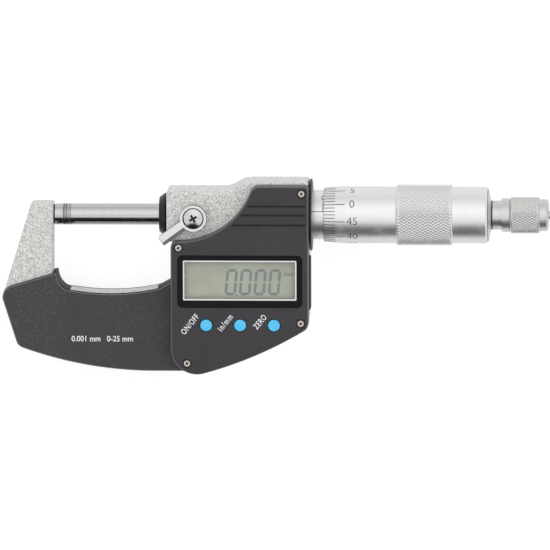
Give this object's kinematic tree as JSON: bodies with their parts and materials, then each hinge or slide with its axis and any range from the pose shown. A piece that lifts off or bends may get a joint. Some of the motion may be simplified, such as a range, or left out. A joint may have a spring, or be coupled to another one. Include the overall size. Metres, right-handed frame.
{
  "type": "digital outside micrometer",
  "caption": "Digital outside micrometer with a U frame, display housing, thimble that drives the spindle, spindle lock lever, ratchet stop, push buttons and a quarter-turn battery cap.",
  "frame": {"origin": "centre of the anvil's measuring face, on the spindle axis", "axes": "+X along the spindle from the anvil to the ratchet, +Y from the bow to the spindle, +Z out of the display; the instrument lies on the housing's back, facing -Z"},
  "size_m": [0.1685, 0.059, 0.0243],
  "materials": {
    "frame_paint": "silver grey hammered enamel",
    "grip_plastic": "fine textured matt, near black",
    "cover_plastic": "fine textured satin, near black",
    "black_plastic": "black, half gloss",
    "ground_steel": "ground and lapped",
    "carbide": "lapped carbide",
    "satin_chrome": "satin chrome, turned",
    "bright_chrome": "bright chrome",
    "screw_steel": "nickel plated",
    "lcd_window": "clear, with a black printed border",
    "lcd_glass": "grey green liquid crystal",
    "button_blue": "light blue, half gloss",
    "black_rubber": "matt",
    "grey_rubber": "matt",
    "board_green": "solder mask",
    "brass": "turned",
    "spring_steel": "drawn",
    "holder_plastic": "moulded"
  },
  "bodies": {
    "body": {"frame": "frame_paint", "anvil": "ground_steel", "anvil_tip": "carbide", "front_grip_cover": "grip_plastic", "rear_grip_cover": "grip_plastic", "spindle_seal_cap": "black_plastic", "spindle_wiper": "black_rubber", "lock_plug": "brass", "encoder_stator": "board_green", "rotor_spring_washer": "spring_steel", "nut_barrel": "ground_steel", "adjusting_nut": "ground_steel", "sleeve": "satin_chrome", "sleeve_collar": "black_plastic", "front_cover": "cover_plastic", "cover_gasket": "black_rubber", "cover_screws": "screw_steel", "display_window": "lcd_window", "lcd_panel": "lcd_glass", "connector_strips": "grey_rubber", "circuit_board": "board_green", "controller_chip": "black_plastic", "button_mat": "grey_rubber", "data_port_cover": "black_rubber", "data_connector": "black_plastic", "battery_cell": "spring_steel", "battery_holder": "holder_plastic", "contact_top": "spring_steel", "contact_side": "spring_steel"},
    "rotor": {"encoder_rotor": "board_green", "rotor_bush": "brass", "rotor_key": "ground_steel"},
    "spindle_group": {"spindle": "ground_steel", "spindle_tip": "carbide", "thimble": "satin_chrome", "ratchet_body": "satin_chrome", "ratchet_pawl": "ground_steel", "ratchet_spring": "spring_steel"},
    "knob_group": {"ratchet_knob": "satin_chrome", "ratchet_screw": "ground_steel"},
    "lock_group": {"lock_lever": "bright_chrome", "lock_screw": "bright_chrome"},
    "power_key": {"button_power": "button_blue"},
    "units_key": {"button_units": "button_blue"},
    "zero_key": {"button_zero": "button_blue"},
    "cap_group": {"battery_cap": "black_plastic", "cap_seal": "black_rubber"}
  },
  "joints": [
    {"name": "thimble_turn", "type": "hinge", "parent": "body", "child": "rotor", "pos_m": [0.0639, 0, 0], "axis": [1, 0, 0], "range_deg": [0, 18000]},
    {"name": "spindle_travel", "type": "slide", "parent": "rotor", "child": "spindle_group", "axis": [1, 0, 0], "range_m": [0, 0.025]},
    {"name": "ratchet_turn", "type": "hinge", "parent": "spindle_group", "child": "knob_group", "pos_m": [0.142, 0, 0], "axis": [1, 0, 0], "continuous": true},
    {"name": "lock_lever_turn", "type": "hinge", "parent": "body", "child": "lock_group", "pos_m": [0.0393, 0, 0.0088], "axis": [0, 0, -1], "range_deg": [0, 60]},
    {"name": "power_press", "type": "slide", "parent": "body", "child": "power_key", "axis": [0, 0, -1], "range_m": [0, 0.0005], "stiffness_N_per_m": 400},
    {"name": "units_press", "type": "slide", "parent": "body", "child": "units_key", "axis": [0, 0, -1], "range_m": [0, 0.0005], "stiffness_N_per_m": 400},
    {"name": "zero_press", "type": "slide", "parent": "body", "child": "zero_key", "axis": [0, 0, -1], "range_m": [0, 0.0005], "stiffness_N_per_m": 400},
    {"name": "battery_cap_turn", "type": "hinge", "parent": "body", "child": "cap_group", "pos_m": [0.049, -0.0318, -0.0107], "axis": [0, 0, 1], "range_deg": [0, 75]}
  ],
  "couplings": [
    {"joint": "thimble_turn", "follows": "spindle_travel", "rad_per_m": 12566}
  ]
}
